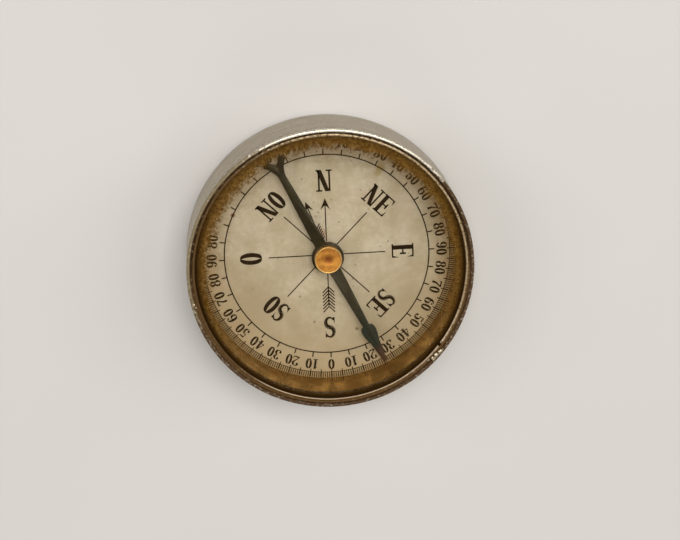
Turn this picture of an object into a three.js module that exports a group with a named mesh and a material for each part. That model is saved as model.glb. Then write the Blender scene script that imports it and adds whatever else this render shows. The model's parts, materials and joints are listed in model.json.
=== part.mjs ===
// Pocket compass in a drum case, lying on its back with the dial facing up.
// Millimetres, +Z up, +Y towards the dial's north, origin at the centre of the underside.
import * as THREE from 'three';

// ---------------------------------------------------------------- driving sizes
const caseDiameter = 40;
const caseHeight = 11.2;
const caseWall = 0.5;
const caseBack = 0.6;
const backEdgeRadius = 0.9;
const insideCornerRadius = 0.4;
const lipRounding = 0.14;

const slipGap = 0.05; // radial play of what drops into the case
const seatGap = 0.02; // axial play between stacked pieces

const packingThickness = 1.0;
const packingWidth = 4.5;
const plateThickness = 0.5;
const cardThickness = 0.15;
const spacerWall = 1.0;
const spacerEdge = 0.12;

const crystalThickness = 1.15;
const crystalEdge = 0.15;

const retainerWidth = 0.65;
const retainerHeight = 0.4;
const retainerEdge = 0.1;
const retainerDepth = 0.5; // from the lip down to the ring
const retainerSplit = 0.5; // between the ring's two ends
const retainerSplitHeading = -40; // degrees from east, anticlockwise

const pinRadius = 0.34;
const pinTaper = 1.25;
const pressGap = 0.01; // between pressed pieces
const postShankRadius = 0.8;
const postBossRadius = 1.2;
const postBossHeight = 0.35;
const postNeckRadius = 0.6;
const postHeight = 0.95; // above the card
const nutAcrossFlats = 3.2;
const nutThickness = 0.75;

const needleHeight = 1.45; // from the card up to the blade
const needleThickness = 0.35;
const needleHeading = 26.1; // degrees from north, anticlockwise
const hubRadius = 2.3;
const armRootWidth = 1.7;

const forkClearance = 2.3; // from the prongs' ends to the inner wall
const forkNeckWidth = 1.0;
const prongLength = 2.05;
const prongWidth = 1.05;
const prongAngle = 42; // degrees from the needle's axis

const spadeClearance = 0.75; // from the point to the inner wall
const spadeLength = 5.5; // from the shoulders to the point
const spadeWidth = 2.1;
const spadeNeckWidth = 1.0;
const spadeWaistWidth = 1.4;
const spadeWaistLength = 3.5; // from the waist to the point
const spadePointWidth = 0.7;
const notchFilling = 0.75; // from the prongs' meeting point to the notch between them

const capRadius = 1.95;
const capHeadHeight = 1.3;
const capShankRadius = 1.2;
const capBoreRadius = 0.85;
const capCrown = 0.55; // metal between the bore and the top
const capRimWidth = 0.22;
const capRimHeight = 0.12;
const capHeadEdge = 0.12; // chamfer under the head
const capDimpleRadius = 0.55;
const capDimpleDepth = 0.26;
const collarWidth = 0.7;
const collarThickness = 0.28;
const collarEdge = 0.05;

const jewelThickness = 0.7;
const jewelMouthRadius = 0.6;
const jewelConeDepth = 0.48;
const bearingGap = 0.02; // between the pin's point and the jewel

const roundSides = 72;
const smallSides = 36;

// ---------------------------------------------------------------- sizes that follow
const caseRadius = caseDiameter / 2;
const boreRadius = caseRadius - caseWall;
const insertRadius = boreRadius - slipGap;
const wallRadius = insertRadius - spacerWall;

const packingBottom = caseBack + seatGap;
const packingTop = packingBottom + packingThickness;
const plateBottom = packingTop + seatGap;
const plateTop = plateBottom + plateThickness;
const cardBottom = plateTop + seatGap;
const cardTop = cardBottom + cardThickness;
const retainerTop = caseHeight - retainerDepth;
const retainerBottom = retainerTop - retainerHeight;
const crystalTop = retainerBottom - seatGap;
const crystalBottom = crystalTop - crystalThickness;
const spacerBottom = cardTop + seatGap;
const spacerTop = crystalBottom - seatGap;

const postHoleRadius = postShankRadius + slipGap;
const nutTop = plateBottom - seatGap;
const nutBottom = nutTop - nutThickness;

const bladeBottom = cardTop + needleHeight;
const bladeTop = bladeBottom + needleThickness;
const capBottom = bladeBottom - seatGap - collarThickness;
const capHeadBottom = bladeTop + seatGap;
const capTop = capHeadBottom + capHeadHeight;
const jewelTop = capTop - capCrown - seatGap;
const jewelBottom = jewelTop - jewelThickness;
const jewelApex = jewelBottom + jewelConeDepth;
const pinTop = jewelApex - bearingGap;

// ---------------------------------------------------------------- shaping helpers
function arcPoints(centreR, centreZ, radius, fromDegrees, toDegrees, steps) {
  const points = [];
  for (let step = 0; step <= steps; step += 1) {
    const degrees = fromDegrees + ((toDegrees - fromDegrees) * step) / steps;
    const angle = THREE.MathUtils.degToRad(degrees);
    points.push([centreR + radius * Math.cos(angle), centreZ + radius * Math.sin(angle)]);
  }
  return points;
}

// A turned solid about Z from [radius, height] points, interior on the left of the path.
function turned(points, sides) {
  const profile = points.map(([radius, height]) => new THREE.Vector2(radius, height));
  return new THREE.LatheGeometry(profile, sides).rotateX(Math.PI / 2);
}

// A turned ring of rectangular section with all four edges chamfered.
function turnedRing(innerRadius, outerRadius, bottom, top, chamfer, sides) {
  const start = [innerRadius + chamfer, bottom];
  const points = [
    start,
    [outerRadius - chamfer, bottom],
    [outerRadius, bottom + chamfer],
    [outerRadius, top - chamfer],
    [outerRadius - chamfer, top],
    [innerRadius + chamfer, top],
    [innerRadius, top - chamfer],
    [innerRadius, bottom + chamfer],
    start,
  ];
  return turned(points, sides);
}

function circleHole(radius) {
  const hole = new THREE.Path();
  hole.absarc(0, 0, radius, 0, 2 * Math.PI, true);
  return hole;
}

// A flat piece of a shape's outline between two heights.
function flatPiece(shape, bottom, top, curveSegments) {
  const options = { depth: top - bottom, bevelEnabled: false, curveSegments };
  return new THREE.ExtrudeGeometry(shape, options).translate(0, 0, bottom);
}

// ---------------------------------------------------------------- materials
function metal(color, roughness) {
  return new THREE.MeshStandardMaterial({ color, roughness, metalness: 1 });
}

function plain(color, roughness) {
  return new THREE.MeshStandardMaterial({ color, roughness, metalness: 0 });
}

const platedBrass = metal(0xa29a88, 0.42);
const ringBrass = metal(0xc3ab86, 0.45);
const wallBrass = metal(0x8e6326, 0.38);
const capBrass = metal(0xc08a35, 0.35);
const bluedSteel = metal(0x2a312c, 0.45);
const brightSteel = metal(0xb8b8b4, 0.3);
const agedPaper = plain(0xb8a684, 0.9);
const greyCard = plain(0x8a7f6c, 0.95);
const jewelStone = plain(0x6b2b22, 0.2);
const clearGlass = new THREE.MeshStandardMaterial({
  color: 0xf2f6f0,
  roughness: 0.05,
  metalness: 0,
  transparent: true,
  opacity: 0.25,
});

function piece(name, geometry, material) {
  const mesh = new THREE.Mesh(geometry, material);
  mesh.name = name;
  return mesh;
}

// ---------------------------------------------------------------- case and dial
function caseShell() {
  const points = [
    [0, 0],
    ...arcPoints(caseRadius - backEdgeRadius, backEdgeRadius, backEdgeRadius, -90, 0, 6),
    ...arcPoints(caseRadius - lipRounding, caseHeight - lipRounding, lipRounding, 0, 90, 3),
    ...arcPoints(boreRadius + lipRounding, caseHeight - lipRounding, lipRounding, 90, 180, 3),
    ...arcPoints(
      boreRadius - insideCornerRadius,
      caseBack + insideCornerRadius,
      insideCornerRadius,
      0,
      -90,
      4,
    ),
    [0, caseBack],
  ];
  return piece('case_shell', turned(points, roundSides), platedBrass);
}

function packingRing() {
  const outerRadius = insertRadius - insideCornerRadius;
  const geometry = turnedRing(
    outerRadius - packingWidth,
    outerRadius,
    packingBottom,
    packingTop,
    0,
    roundSides,
  );
  return piece('packing_ring', geometry, greyCard);
}

function centreHoledDisc(name, bottom, top, material) {
  const points = [
    [postHoleRadius, bottom],
    [insertRadius, bottom],
    [insertRadius, top],
    [postHoleRadius, top],
    [postHoleRadius, bottom],
  ];
  return piece(name, turned(points, roundSides), material);
}

function spacerRing() {
  const geometry = turnedRing(
    wallRadius,
    insertRadius,
    spacerBottom,
    spacerTop,
    spacerEdge,
    roundSides,
  );
  return piece('spacer_ring', geometry, wallBrass);
}

function crystal() {
  const points = [
    [0, crystalBottom],
    [insertRadius - crystalEdge, crystalBottom],
    [insertRadius, crystalBottom + crystalEdge],
    [insertRadius, crystalTop - crystalEdge],
    [insertRadius - crystalEdge, crystalTop],
    [0, crystalTop],
  ];
  return piece('crystal', turned(points, roundSides), clearGlass);
}

function retainingRing() {
  const outer = insertRadius - retainerEdge;
  const inner = insertRadius - retainerWidth + retainerEdge;
  const halfSplit = retainerSplit / 2 / insertRadius;
  const heading = THREE.MathUtils.degToRad(retainerSplitHeading);
  const from = heading + halfSplit;
  const to = heading - halfSplit + 2 * Math.PI;
  const outline = new THREE.Shape();
  outline.absarc(0, 0, outer, from, to, false);
  outline.absarc(0, 0, inner, to, from, true);
  const geometry = new THREE.ExtrudeGeometry(outline, {
    depth: retainerHeight - 2 * retainerEdge,
    bevelSize: retainerEdge,
    bevelThickness: retainerEdge,
    bevelSegments: 1,
    curveSegments: roundSides,
  });
  geometry.translate(0, 0, retainerBottom + retainerEdge);
  return piece('retaining_ring', geometry, ringBrass);
}

// ---------------------------------------------------------------- pivot
function pivotPost() {
  const boreRadiusForPin = pinRadius + pressGap;
  const start = [boreRadiusForPin, nutBottom];
  const points = [
    start,
    [postShankRadius, nutBottom],
    [postShankRadius, cardTop + seatGap],
    [postBossRadius, cardTop + seatGap],
    [postBossRadius, cardTop + postBossHeight],
    [postNeckRadius, cardTop + postHeight],
    [boreRadiusForPin, cardTop + postHeight],
    start,
  ];
  return piece('pivot_post', turned(points, smallSides), wallBrass);
}

function pivotNut() {
  const outline = new THREE.Shape();
  const cornerRadius = nutAcrossFlats / Math.sqrt(3);
  for (let corner = 0; corner < 6; corner += 1) {
    const angle = (corner * Math.PI) / 3;
    const x = cornerRadius * Math.cos(angle);
    const y = cornerRadius * Math.sin(angle);
    if (corner === 0) outline.moveTo(x, y);
    else outline.lineTo(x, y);
  }
  outline.closePath();
  outline.holes.push(circleHole(postShankRadius + slipGap));
  return piece('pivot_nut', flatPiece(outline, nutBottom, nutTop, smallSides), wallBrass);
}

function pivotPin() {
  const points = [
    [0, nutBottom],
    [pinRadius, nutBottom],
    [pinRadius, pinTop - pinTaper],
    [0, pinTop],
  ];
  return piece('pivot_pin', turned(points, smallSides), brightSteel);
}

// ---------------------------------------------------------------- needle
// The outline runs down the right side from the fork to the spade's point, and mirrors back.
function needleOutline() {
  const angle = THREE.MathUtils.degToRad(prongAngle);
  const along = new THREE.Vector2(Math.sin(angle), Math.cos(angle));
  const across = new THREE.Vector2(along.y, -along.x).multiplyScalar(prongWidth / 2);
  const forkY = wallRadius - forkClearance - prongLength * along.y;
  const notchY = forkY + notchFilling;
  const neckY = forkY - prongLength * 0.6;
  const prongEnd = along.clone().multiplyScalar(prongLength).add(new THREE.Vector2(0, forkY));
  const innerCorner = prongEnd.clone().sub(across);
  const outerCorner = prongEnd.clone().add(across);
  const hubJoinAngle = Math.acos(armRootWidth / 2 / hubRadius);
  const pointY = spadeClearance - wallRadius;
  const shoulderY = pointY + spadeLength;
  const waistY = pointY + spadeWaistLength;
  const flare = (spadeWidth - spadeNeckWidth) / 2;

  const right = new THREE.Path();
  right.moveTo(0, notchY);
  right.quadraticCurveTo(innerCorner.x * 0.4, notchY, innerCorner.x, innerCorner.y);
  right.lineTo(outerCorner.x, outerCorner.y);
  right.quadraticCurveTo(forkNeckWidth * 0.6, forkY, forkNeckWidth / 2, neckY);
  right.absarc(0, 0, hubRadius, hubJoinAngle, -hubJoinAngle, true);
  right.lineTo(spadeNeckWidth / 2, shoulderY + flare);
  right.quadraticCurveTo(spadeWidth / 2, shoulderY + flare, spadeWidth / 2, shoulderY - flare / 2);
  right.quadraticCurveTo(spadeWidth / 2, shoulderY - flare * 2, spadeWaistWidth / 2, waistY);
  right.lineTo(spadePointWidth / 2, pointY + spadePointWidth);
  right.quadraticCurveTo(spadePointWidth / 2, pointY, 0, pointY);

  const rightPoints = right.getPoints(12);
  const leftPoints = rightPoints
    .slice(1, -1)
    .reverse()
    .map((point) => new THREE.Vector2(-point.x, point.y));
  const outline = new THREE.Shape([...rightPoints, ...leftPoints].reverse());
  outline.holes.push(circleHole(capShankRadius + pressGap));
  return outline;
}

function needleBlade() {
  const geometry = flatPiece(needleOutline(), bladeBottom, bladeTop, smallSides);
  return piece('needle_blade', geometry, bluedSteel);
}

function needleCap() {
  const dishHeight = capTop - capRimHeight;
  const points = [
    [0, jewelTop + seatGap],
    [capBoreRadius, jewelTop + seatGap],
    [capBoreRadius, capBottom],
    [capShankRadius, capBottom],
    [capShankRadius, capHeadBottom],
    [capRadius - capHeadEdge, capHeadBottom],
    [capRadius, capHeadBottom + capHeadEdge],
    ...arcPoints(capRadius - capRimWidth / 2, capTop - capRimWidth / 2, capRimWidth / 2, 0, 180, 6),
    [capRadius - capRimWidth, dishHeight],
    [capDimpleRadius, dishHeight],
    [0, dishHeight - capDimpleDepth],
  ];
  return piece('needle_cap', turned(points, smallSides), capBrass);
}

function capCollar() {
  const geometry = turnedRing(
    capShankRadius + pressGap,
    capShankRadius + collarWidth,
    capBottom,
    bladeBottom - seatGap,
    collarEdge,
    smallSides,
  );
  return piece('cap_collar', geometry, capBrass);
}

function capJewel() {
  const radius = capBoreRadius - pressGap;
  const points = [
    [0, jewelApex],
    [jewelMouthRadius, jewelBottom],
    [radius, jewelBottom],
    [radius, jewelTop],
    [0, jewelTop],
  ];
  return piece('cap_jewel', turned(points, smallSides), jewelStone);
}

// ---------------------------------------------------------------- assembly
const compass = new THREE.Group();
compass.add(caseShell());
compass.add(packingRing());
compass.add(centreHoledDisc('dial_plate', plateBottom, plateTop, wallBrass));
compass.add(centreHoledDisc('dial_card', cardBottom, cardTop, agedPaper));
compass.add(spacerRing());
compass.add(crystal());
compass.add(retainingRing());
compass.add(pivotPost());
compass.add(pivotNut());
compass.add(pivotPin());

const needle = new THREE.Group();
needle.rotation.z = THREE.MathUtils.degToRad(needleHeading);
needle.add(needleBlade());
needle.add(needleCap());
needle.add(capCollar());
needle.add(capJewel());
compass.add(needle);

export default compass;
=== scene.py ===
"""A pocket compass in a drum case, lying on its back with the dial facing up."""

import json
import math

import bpy
from mathutils import Matrix, Vector

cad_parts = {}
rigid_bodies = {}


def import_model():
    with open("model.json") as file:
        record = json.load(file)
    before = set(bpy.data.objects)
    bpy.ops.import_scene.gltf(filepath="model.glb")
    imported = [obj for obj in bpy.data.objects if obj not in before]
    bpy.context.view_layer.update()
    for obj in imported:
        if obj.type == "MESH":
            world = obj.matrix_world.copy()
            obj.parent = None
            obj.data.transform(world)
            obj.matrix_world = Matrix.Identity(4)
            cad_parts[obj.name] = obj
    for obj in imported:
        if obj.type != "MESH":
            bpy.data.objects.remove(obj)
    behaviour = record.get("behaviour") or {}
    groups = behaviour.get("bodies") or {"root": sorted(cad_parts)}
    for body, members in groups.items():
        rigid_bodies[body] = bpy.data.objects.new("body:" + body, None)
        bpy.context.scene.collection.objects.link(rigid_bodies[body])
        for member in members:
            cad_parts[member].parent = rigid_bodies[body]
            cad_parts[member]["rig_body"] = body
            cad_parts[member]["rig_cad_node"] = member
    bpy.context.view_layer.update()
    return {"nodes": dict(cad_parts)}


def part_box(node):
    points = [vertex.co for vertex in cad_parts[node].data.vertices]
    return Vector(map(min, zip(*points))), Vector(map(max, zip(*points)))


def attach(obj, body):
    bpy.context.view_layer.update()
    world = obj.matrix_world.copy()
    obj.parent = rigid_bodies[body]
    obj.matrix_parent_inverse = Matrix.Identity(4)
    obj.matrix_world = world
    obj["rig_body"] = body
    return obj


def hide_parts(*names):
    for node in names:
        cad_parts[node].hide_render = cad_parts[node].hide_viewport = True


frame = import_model()

MM = 0.001
SIDES = 240
SMALL_SIDES = 96

# -------- places taken from the frame
CASE_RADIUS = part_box("case_shell")[1].x
CASE_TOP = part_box("case_shell")[1].z
RING_LOW, RING_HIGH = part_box("retaining_ring")
CRYSTAL_LOW, CRYSTAL_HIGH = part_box("crystal")
SPACER_LOW, SPACER_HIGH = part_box("spacer_ring")
CARD_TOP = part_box("dial_card")[1].z
CAP_LOW, CAP_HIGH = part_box("needle_cap")
BLADE_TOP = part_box("needle_blade")[1].z

# -------- sizes of the case, rings and glass
CASE_WALL = 0.5 * MM
CASE_BACK = 0.6 * MM
CASE_BORE = CASE_RADIUS - CASE_WALL
BACK_EDGE_RADIUS = 0.9 * MM
CORNER_RADIUS = 0.4 * MM
SPACER_WALL = 1.0 * MM
SPACER_EDGE = 0.12 * MM
WALL_RADIUS = SPACER_HIGH.x - SPACER_WALL
CRYSTAL_EDGE = 0.15 * MM
RING_WIDTH = 0.58 * MM
RING_OUTER = RING_HIGH.x - 0.2 * MM
RING_INNER = RING_HIGH.x - RING_WIDTH
RING_EDGE = 0.13 * MM
RING_GAP_HEADING = 130
RING_GAP_DEGREES = 1.6
FILM_WIDTH = 4.6 * MM
SOLDER_SINK = 0.06 * MM
SOLDER = (
    # heading in degrees, then radius, length, width and height in millimetres
    (130.4, 19.58, 0.9, 0.6, 0.36),
    (132.6, 19.42, 0.75, 0.6, 0.34),
    (134.6, 19.5, 0.55, 0.7, 0.26),
    (136.4, 19.1, 0.38, 0.34, 0.34),
    (125.8, 19.55, 0.16, 0.16, 0.18),
    (125.0, 19.78, 0.16, 0.16, 0.18),
    (-101.2, 19.62, 0.42, 0.34, 0.24),
    (-102.6, 19.42, 0.24, 0.22, 0.2),
)

# -------- sizes of the dial's print
CIRCLE = 14.64 * MM
LINE = 0.18 * MM
SCALE_CIRCLE = 17.64 * MM
SCALE_LINE = 0.1 * MM
TICK = 0.78 * MM
INNER_TICK = 0.4 * MM
LETTER_HEIGHT = 3.12 * MM
LETTER_BASE = 9.3 * MM
NUMERAL_HEIGHT = 1.5 * MM
NUMERAL_BASE = 15.72 * MM
ROSE_START = 2.0 * MM
ROSE_LINE = 0.16 * MM
FEATHER_LINE = 0.17 * MM
DECLINATION = -19.5
THICK = 0.2  # broad strokes, as a share of a letter's height
HAIR = 0.07  # thin strokes, likewise
INK_HEIGHT = CARD_TOP + 0.012 * MM
HEADINGS = {"N": 0, "NE": 45, "E": 90, "SE": 135, "S": 180, "SO": 225, "O": 270, "NO": 315}
STAINS = (
    # east, north and size in millimetres, then strength and tint
    (-13.1, 6.5, 0.42, 0.95, (0.17, 0.04, 0.01)),
    (8.0, 12.3, 0.9, 0.7, (0.36, 0.25, 0.07)),
    (7.6, 11.5, 0.7, 0.5, (0.40, 0.28, 0.09)),
    (3.9, -11.3, 0.34, 0.8, (0.16, 0.10, 0.03)),
    (-2.2, -9.9, 0.26, 0.7, (0.14, 0.11, 0.07)),
    (-4.1, -6.0, 0.24, 0.7, (0.26, 0.19, 0.06)),
    (8.8, 1.5, 0.22, 0.6, (0.20, 0.16, 0.10)),
    (1.9, 4.7, 0.2, 0.7, (0.20, 0.18, 0.12)),
    (-1.0, 6.3, 0.2, 0.7, (0.26, 0.13, 0.07)),
    (-0.6, 3.2, 0.9, 0.55, (0.34, 0.16, 0.09)),
)

# -------- sizes of the needle's cap
CAP_SHANK = 1.2 * MM
CAP_BORE = 0.85 * MM
CAP_CEILING = 0.55 * MM
CAP_HEAD_EDGE = 0.1 * MM
CAP_RIM = 0.11 * MM
CAP_DISH = 0.14 * MM
CAP_CONE = (
    # radius, and depth below the dish, in millimetres
    (1.0, 0),
    (0.75, 0.03),
    (0.45, 0.12),
    (0.1, 0.27),
    (0, 0.29),
)

# -------- studio
SHADE = 0.1  # how bright the world is to the compass
BACKDROP = 0.78  # how bright the world is to the camera
LIGHTS = (
    # name, heading and elevation in degrees, distance and size in metres, watts, colour
    ("key", 12, 73, 0.75, 0.42, 4.05, (1.0, 0.985, 0.95)),
    ("west", 285, 42, 0.8, 0.5, 1.6, (0.98, 0.98, 1.0)),
    ("east", 80, 42, 0.8, 0.5, 1.7, (1.0, 0.98, 0.95)),
    ("south", 185, 30, 0.9, 0.5, 0.8, (1.0, 0.99, 0.97)),
    ("low_east", 72, 9, 0.7, 0.18, 0.4, (1.0, 0.99, 0.97)),
    ("low_south", 172, 9, 0.7, 0.18, 0.4, (1.0, 0.99, 0.97)),
    ("low_west", 292, 9, 0.7, 0.18, 0.4, (1.0, 0.99, 0.97)),
)
FLOOR_RADIUS = 0.72  # in metres

# -------- modelling helpers


def arc(centre, radius, start, stop, steps):
    """Points on an arc as (x, y) pairs; angles in degrees."""
    points = []
    for step in range(steps + 1):
        angle = math.radians(start + (stop - start) * step / steps)
        points.append((centre[0] + radius * math.cos(angle), centre[1] + radius * math.sin(angle)))
    return points


def start_piece(name):
    """Names the primitive just added and opens it for editing with everything selected."""
    piece = bpy.context.object
    piece.name = name
    piece.data.name = name
    bpy.ops.object.mode_set(mode="EDIT")
    bpy.ops.mesh.select_all(action="SELECT")
    return piece


def close_piece(piece, smooth_degrees=35):
    """Merges seams, turns faces outwards, leaves edit mode and smooths the gentle edges."""
    bpy.ops.mesh.select_all(action="SELECT")
    bpy.ops.mesh.remove_doubles(threshold=0.0008 * MM)
    bpy.ops.mesh.normals_make_consistent(inside=False)
    bpy.ops.object.mode_set(mode="OBJECT")
    bpy.ops.object.transform_apply(location=True, rotation=True, scale=True)
    bpy.ops.object.shade_smooth_by_angle(angle=math.radians(smooth_degrees))
    return piece


def with_guards(profile):
    """Adds a point close to both ends of every long straight, so that flats shade flat."""
    guarded = [profile[0]]
    for here, there in zip(profile, profile[1:]):
        start, stop = Vector(here), Vector(there)
        length = (stop - start).length
        if length > 0.5 * MM:
            guard = 0.05 * MM / length
            guarded += [tuple(start.lerp(stop, guard)), tuple(start.lerp(stop, 1 - guard))]
        guarded.append(there)
    return guarded


def turned(name, profile, sides=SIDES):
    """A solid turned about Z; its profile is drawn point by point as (radius, height)."""
    profile = with_guards(profile)
    bpy.ops.object.select_all(action="DESELECT")
    bpy.ops.mesh.primitive_plane_add(size=MM, location=(0, 0, 0))
    piece = start_piece(name)
    bpy.ops.mesh.merge(type="CENTER")
    bpy.ops.transform.translate(value=(profile[0][0], 0, profile[0][1]))
    for here, there in zip(profile, profile[1:]):
        step = (there[0] - here[0], 0, there[1] - here[1])
        bpy.ops.mesh.extrude_region_move(TRANSFORM_OT_translate={"value": step})
    bpy.ops.mesh.select_all(action="SELECT")
    bpy.ops.mesh.spin(steps=sides, angle=2 * math.pi, center=(0, 0, 0), axis=(0, 0, 1))
    return close_piece(piece)


def ring_profile(inner, outer, bottom, top, edge):
    """A rectangular section with rounded corners, closed on itself."""
    profile = []
    for centre, start in (
        ((outer - edge, bottom + edge), -90),
        ((outer - edge, top - edge), 0),
        ((inner + edge, top - edge), 90),
        ((inner + edge, bottom + edge), 180),
    ):
        profile += arc(centre, edge, start, start + 90, 4)
    return profile + profile[:1]


def dress(piece, finish):
    """Gives a piece or a CAD node its material."""
    piece.data.materials.clear()
    piece.data.materials.append(finish)


def ready(piece, body, *nodes, finish, slot):
    """Puts a finished piece on its body, in place of its CAD nodes, with its material."""
    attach(piece, body)
    if nodes:
        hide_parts(*nodes)
    dress(piece, finish)


# -------- material helpers


class Finish:
    """A material under construction: a call adds what it needs and returns its output."""

    def __init__(self, name):
        self.material = bpy.data.materials.new(name)
        self.material.use_nodes = True
        self.tree = self.material.node_tree
        self.shader = self.tree.nodes["Principled BSDF"]
        self.output = self.tree.nodes["Material Output"]

    def put(self, socket, value):
        """Links an output to a socket, or sets the socket to a plain value."""
        if isinstance(value, bpy.types.NodeSocket):
            self.tree.links.new(value, socket)
        elif isinstance(value, tuple) and len(value) == 3 and socket.type == "RGBA":
            socket.default_value = (*value, 1)
        else:
            socket.default_value = value

    def set(self, **values):
        """Sets the main shader's sockets by name, with underscores for spaces."""
        for name, value in values.items():
            self.put(self.shader.inputs[name.replace("_", " ")], value)

    def place(self, stretch=(1, 1, 1)):
        """The point's place on the piece in millimetres, stretched along each axis."""
        coordinates = self.tree.nodes.new("ShaderNodeTexCoord")
        scaled = self.tree.nodes.new("ShaderNodeVectorMath")
        scaled.operation = "MULTIPLY"
        self.put(scaled.inputs[0], coordinates.outputs["Object"])
        scaled.inputs[1].default_value = [factor / MM for factor in stretch]
        return scaled.outputs[0]

    def split(self, vector):
        """A vector's x, y and z outputs."""
        parts = self.tree.nodes.new("ShaderNodeSeparateXYZ")
        self.put(parts.inputs[0], vector)
        return parts.outputs

    def math(self, operation, first, second=0.0, clamp=False):
        """One step of arithmetic on two values."""
        node = self.tree.nodes.new("ShaderNodeMath")
        node.operation = operation
        node.use_clamp = clamp
        self.put(node.inputs[0], first)
        self.put(node.inputs[1], second)
        return node.outputs[0]

    def plus(self, first, second):
        return self.math("ADD", first, second)

    def minus(self, first, second):
        return self.math("SUBTRACT", first, second)

    def times(self, first, second):
        return self.math("MULTIPLY", first, second)

    def noise(self, vector, scale, detail=3.0, roughness=0.55, distortion=0.0):
        """Clouds or grain around 0.5; scale is in patches per millimetre."""
        node = self.tree.nodes.new("ShaderNodeTexNoise")
        self.put(node.inputs["Vector"], vector)
        node.inputs["Scale"].default_value = scale
        node.inputs["Detail"].default_value = detail
        node.inputs["Roughness"].default_value = roughness
        node.inputs["Distortion"].default_value = distortion
        return node.outputs["Fac"]

    def cells(self, vector, scale):
        """Scattered cells: the distance to a cell's middle, and a colour for each cell."""
        node = self.tree.nodes.new("ShaderNodeTexVoronoi")
        self.put(node.inputs["Vector"], vector)
        node.inputs["Scale"].default_value = scale
        return node.outputs

    def between(self, value, low, high, start=0.0, stop=1.0):
        """Maps value from low..high to start..stop, smoothly and no further."""
        node = self.tree.nodes.new("ShaderNodeMapRange")
        node.interpolation_type = "SMOOTHSTEP"
        for socket, number in zip(node.inputs, (value, low, high, start, stop)):
            self.put(socket, number)
        return node.outputs[0]

    def blend(self, share, first, second):
        """The first colour where share is 0, the second where it is 1."""
        node = self.tree.nodes.new("ShaderNodeMix")
        node.data_type = "RGBA"
        self.put(node.inputs["Factor"], share)
        self.put(node.inputs[6], first)
        self.put(node.inputs[7], second)
        return node.outputs[2]

    def ragged(self, value, noise, amount):
        """The value with noise on it, so that its edges wander by an amount either way."""
        return self.plus(value, self.between(noise, 0.3, 0.7, -amount, amount))

    def bump(self, height, depth, strength):
        """A normal from a height field; depth in millimetres."""
        node = self.tree.nodes.new("ShaderNodeBump")
        node.inputs["Strength"].default_value = strength
        node.inputs["Distance"].default_value = depth * MM
        self.put(node.inputs["Height"], height)
        return node.outputs[0]

    def radius(self, vector):
        """Distance from the compass's axis, in millimetres."""
        x, y = self.split(vector)[:2]
        level = self.tree.nodes.new("ShaderNodeCombineXYZ")
        self.put(level.inputs[0], x)
        self.put(level.inputs[1], y)
        distance = self.tree.nodes.new("ShaderNodeVectorMath")
        distance.operation = "LENGTH"
        self.put(distance.inputs[0], level.outputs[0])
        return distance.outputs["Value"]

    def toward(self, vector, heading, spread):
        """1 on the side that faces a heading (degrees clockwise from north), 0 beyond spread."""
        x, y = self.split(vector)[:2]
        east = self.times(x, math.sin(math.radians(heading)))
        north = self.times(y, math.cos(math.radians(heading)))
        along = self.math("DIVIDE", self.plus(east, north), self.radius(vector))
        return self.between(along, math.cos(math.radians(spread)), 1.0)

    def mix_shaders(self, share, first, second):
        """The first shader where share is 0, the second where it is 1."""
        node = self.tree.nodes.new("ShaderNodeMixShader")
        self.put(node.inputs[0], share)
        self.tree.links.new(first, node.inputs[1])
        self.tree.links.new(second, node.inputs[2])
        return node.outputs[0]


# -------- materials


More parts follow.
